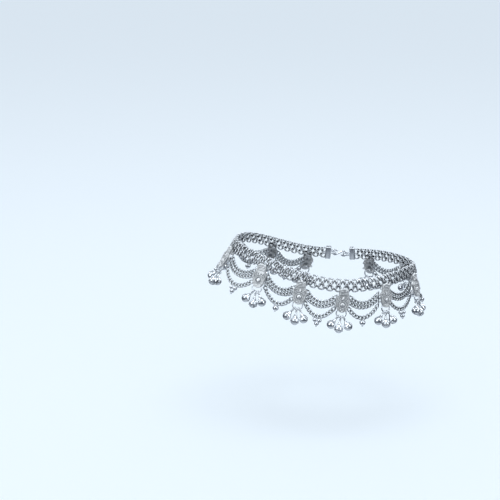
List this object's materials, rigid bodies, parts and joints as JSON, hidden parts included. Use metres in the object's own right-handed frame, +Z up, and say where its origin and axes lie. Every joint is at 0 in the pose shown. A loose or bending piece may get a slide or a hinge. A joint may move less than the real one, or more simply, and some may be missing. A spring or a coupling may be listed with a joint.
{
  "type": "payal anklet",
  "caption": "Silver chain anklet: a woven belt closed by a hook, with frosted plaques, swags of fine chain between them and clusters of small round bells hanging below.",
  "frame": {"origin": "middle of the ankle hole, level with the middle of the belt's top edge", "axes": "+X from the instep to the heel, +Y towards the far side that holds the clasp, +Z up the leg"},
  "size_m": [0.1243, 0.0816, 0.0436],
  "materials": {
    "silver": "polished silver, woven links and clasp, darker in the crevices",
    "chain_silver": "polished silver, fine curb chain, darker between the links",
    "frosted_silver": "frosted cast silver with bright granules",
    "bell_silver": "mirror-polished silver"
  },
  "bodies": {
    "root": {"belt": "silver", "clasp_hook": "silver", "plaque_01": "frosted_silver", "bell_01_left": "bell_silver", "bell_01_middle": "bell_silver", "bell_01_right": "bell_silver", "swag_01": "chain_silver", "plaque_02": "frosted_silver", "bell_02_left": "bell_silver", "bell_02_middle": "bell_silver", "bell_02_right": "bell_silver", "swag_02": "chain_silver", "plaque_03": "frosted_silver", "bell_03_left": "bell_silver", "bell_03_middle": "bell_silver", "bell_03_right": "bell_silver", "swag_03": "chain_silver", "plaque_04": "frosted_silver", "bell_04_left": "bell_silver", "bell_04_middle": "bell_silver", "bell_04_right": "bell_silver", "swag_04": "chain_silver", "plaque_05": "frosted_silver", "bell_05_left": "bell_silver", "bell_05_middle": "bell_silver", "bell_05_right": "bell_silver", "swag_05": "chain_silver", "plaque_06": "frosted_silver", "bell_06_left": "bell_silver", "bell_06_middle": "bell_silver", "bell_06_right": "bell_silver", "swag_06": "chain_silver", "plaque_07": "frosted_silver", "bell_07_left": "bell_silver", "bell_07_middle": "bell_silver", "bell_07_right": "bell_silver", "swag_07": "chain_silver", "plaque_08": "frosted_silver", "bell_08_left": "bell_silver", "bell_08_middle": "bell_silver", "bell_08_right": "bell_silver", "plaque_09": "frosted_silver", "bell_09_left": "bell_silver", "bell_09_middle": "bell_silver", "bell_09_right": "bell_silver", "swag_09": "chain_silver", "plaque_10": "frosted_silver", "bell_10_left": "bell_silver", "bell_10_middle": "bell_silver", "bell_10_right": "bell_silver", "swag_10": "chain_silver", "plaque_11": "frosted_silver", "bell_11_left": "bell_silver", "bell_11_middle": "bell_silver", "bell_11_right": "bell_silver", "swag_11": "chain_silver"}
  },
  "joints": []
}
